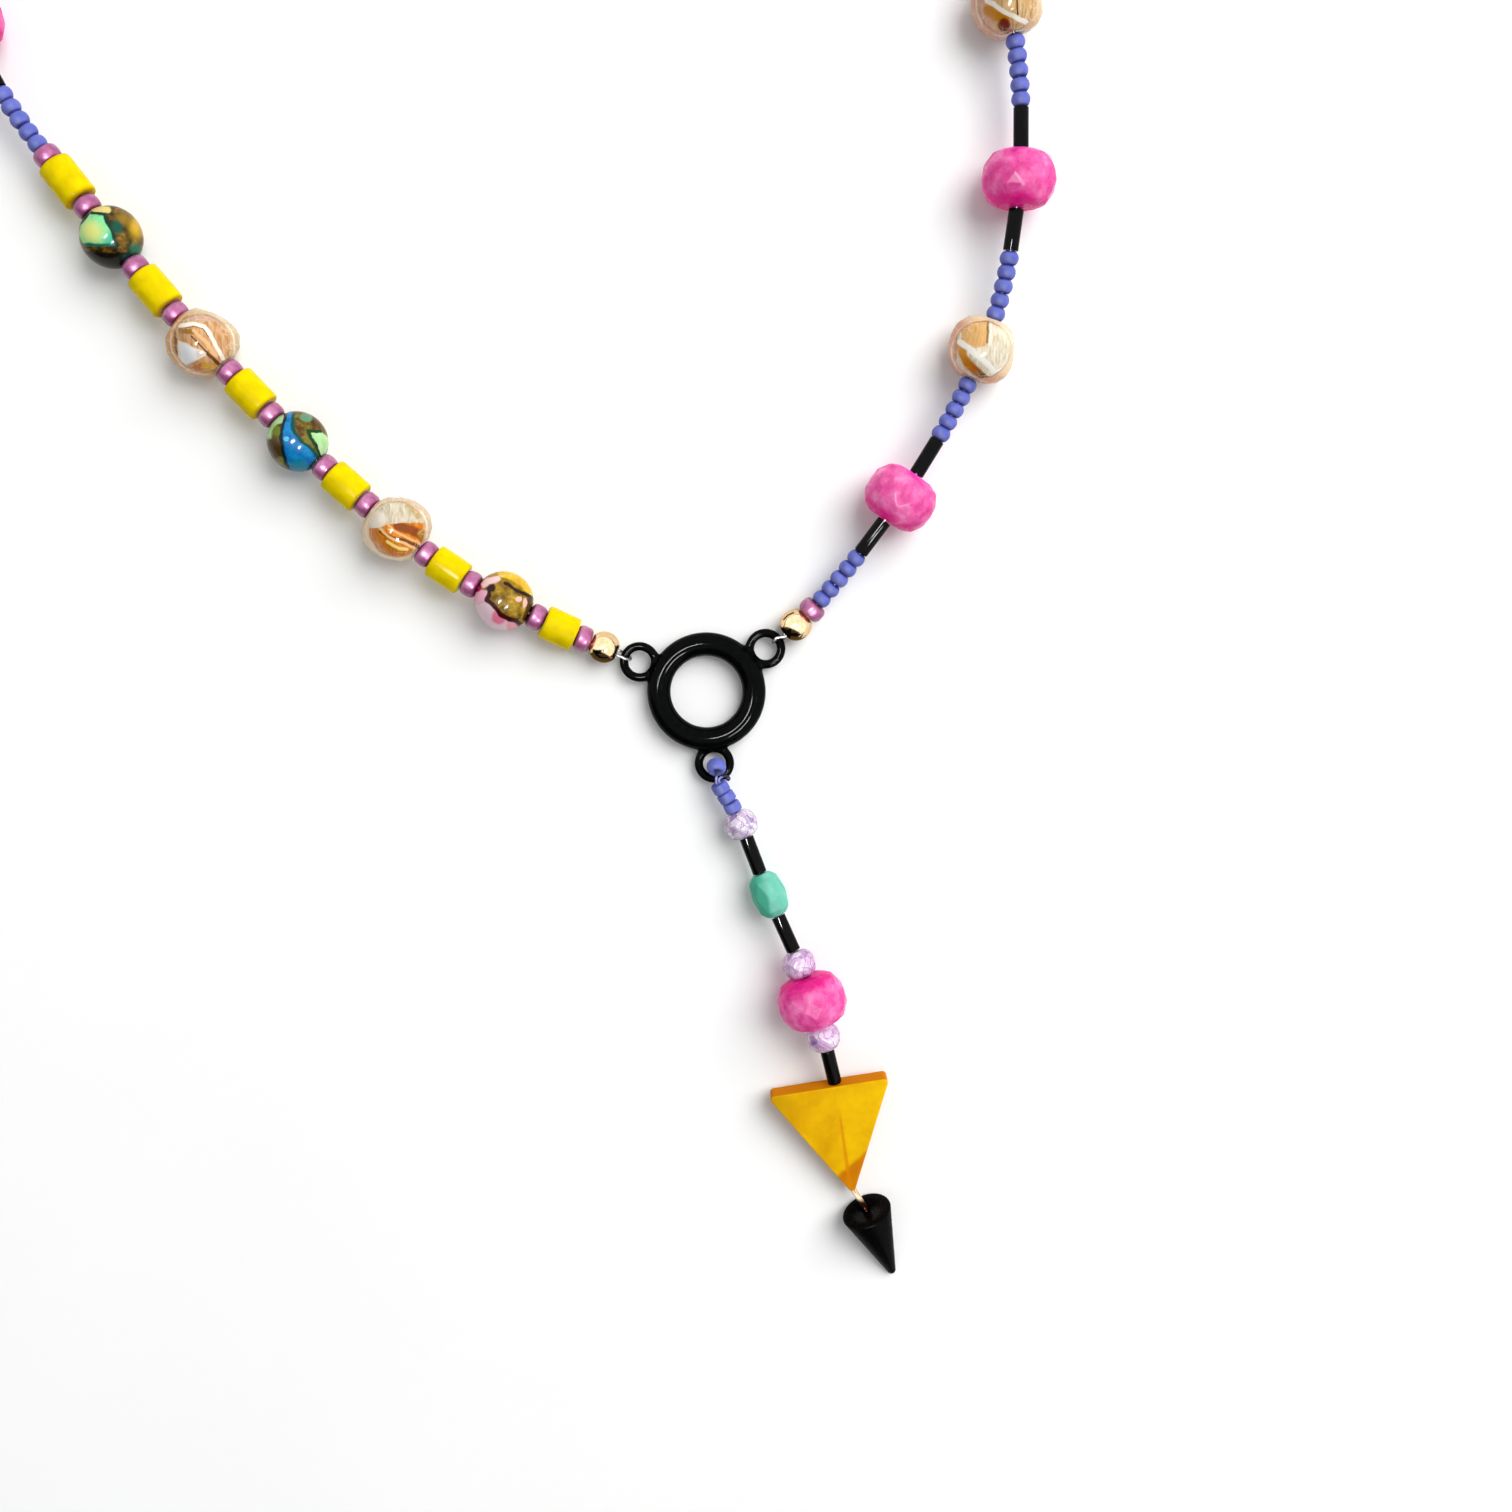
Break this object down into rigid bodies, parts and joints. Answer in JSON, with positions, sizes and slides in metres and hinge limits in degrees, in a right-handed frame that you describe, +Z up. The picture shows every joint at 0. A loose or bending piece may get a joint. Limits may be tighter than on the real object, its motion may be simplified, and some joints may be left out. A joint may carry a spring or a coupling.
{
  "type": "bead necklace in Y form",
  "caption": "Y-shaped bead necklace: two beaded neck strands and a short drop with a flat triangle and a cone meet at a black ring, laid flat as a closed loop.",
  "frame": {"origin": "middle of the bounding box at the table surface that the necklace lies on", "axes": "+Y from the drop towards the clasp, +Z up from the table, +X to the right seen from above"},
  "size_m": [0.1399, 0.2415, 0.0089],
  "materials": {
    "black_metal": "gloss black enamel",
    "silver_wire": "bright silver beading wire",
    "drop_thread": "pale blue-lilac beading thread",
    "gold_metal": "polished pale gold",
    "yellow_glaze": "gloss lemon yellow glaze",
    "mosaic_stone": "polished mosaic of olive, green, blue and pink stone chips",
    "champagne_glass": "clear champagne glass with amber and copper tints",
    "pink_glass": "translucent mottled pink glass, soft cut",
    "lilac_glass": "pale lilac crackle crystal",
    "mint_glass": "satin opaque mint",
    "mauve_lustre": "mauve lustre glaze",
    "black_glass": "gloss black glass",
    "blue_seed": "matte periwinkle blue",
    "amber_resin": "translucent amber yellow, polished",
    "black_stone": "satin black stone"
  },
  "bodies": {
    "root": {"ring": "black_metal", "left_wire": "silver_wire", "right_wire": "silver_wire", "drop_thread": "drop_thread", "left_gold_1": "gold_metal", "left_gold_2": "gold_metal", "right_gold_1": "gold_metal", "right_gold_2": "gold_metal", "cone_link": "gold_metal", "clasp": "gold_metal", "left_tube_1": "yellow_glaze", "left_tube_2": "yellow_glaze", "left_tube_3": "yellow_glaze", "left_tube_4": "yellow_glaze", "left_tube_5": "yellow_glaze", "left_tube_6": "yellow_glaze", "left_mosaic_1": "mosaic_stone", "left_mosaic_2": "mosaic_stone", "left_mosaic_3": "mosaic_stone", "left_nugget_1": "champagne_glass", "left_nugget_2": "champagne_glass", "left_nugget_3": "champagne_glass", "left_nugget_4": "champagne_glass", "right_nugget_1": "champagne_glass", "right_nugget_2": "champagne_glass", "right_nugget_3": "champagne_glass", "right_nugget_4": "champagne_glass", "left_rondelle_1": "pink_glass", "left_rondelle_2": "pink_glass", "right_rondelle_1": "pink_glass", "right_rondelle_2": "pink_glass", "right_rondelle_3": "pink_glass", "right_rondelle_4": "pink_glass", "drop_rondelle_1": "pink_glass", "drop_lilac_1": "lilac_glass", "drop_lilac_2": "lilac_glass", "drop_lilac_3": "lilac_glass", "drop_mint_1": "mint_glass", "left_spacers": "mauve_lustre", "right_spacers": "mauve_lustre", "left_bugles": "black_glass", "right_bugles": "black_glass", "drop_bugles": "black_glass", "left_seed_runs": "blue_seed", "right_seed_runs": "blue_seed", "drop_seed_runs": "blue_seed", "triangle": "amber_resin", "cone": "black_stone"}
  },
  "joints": []
}
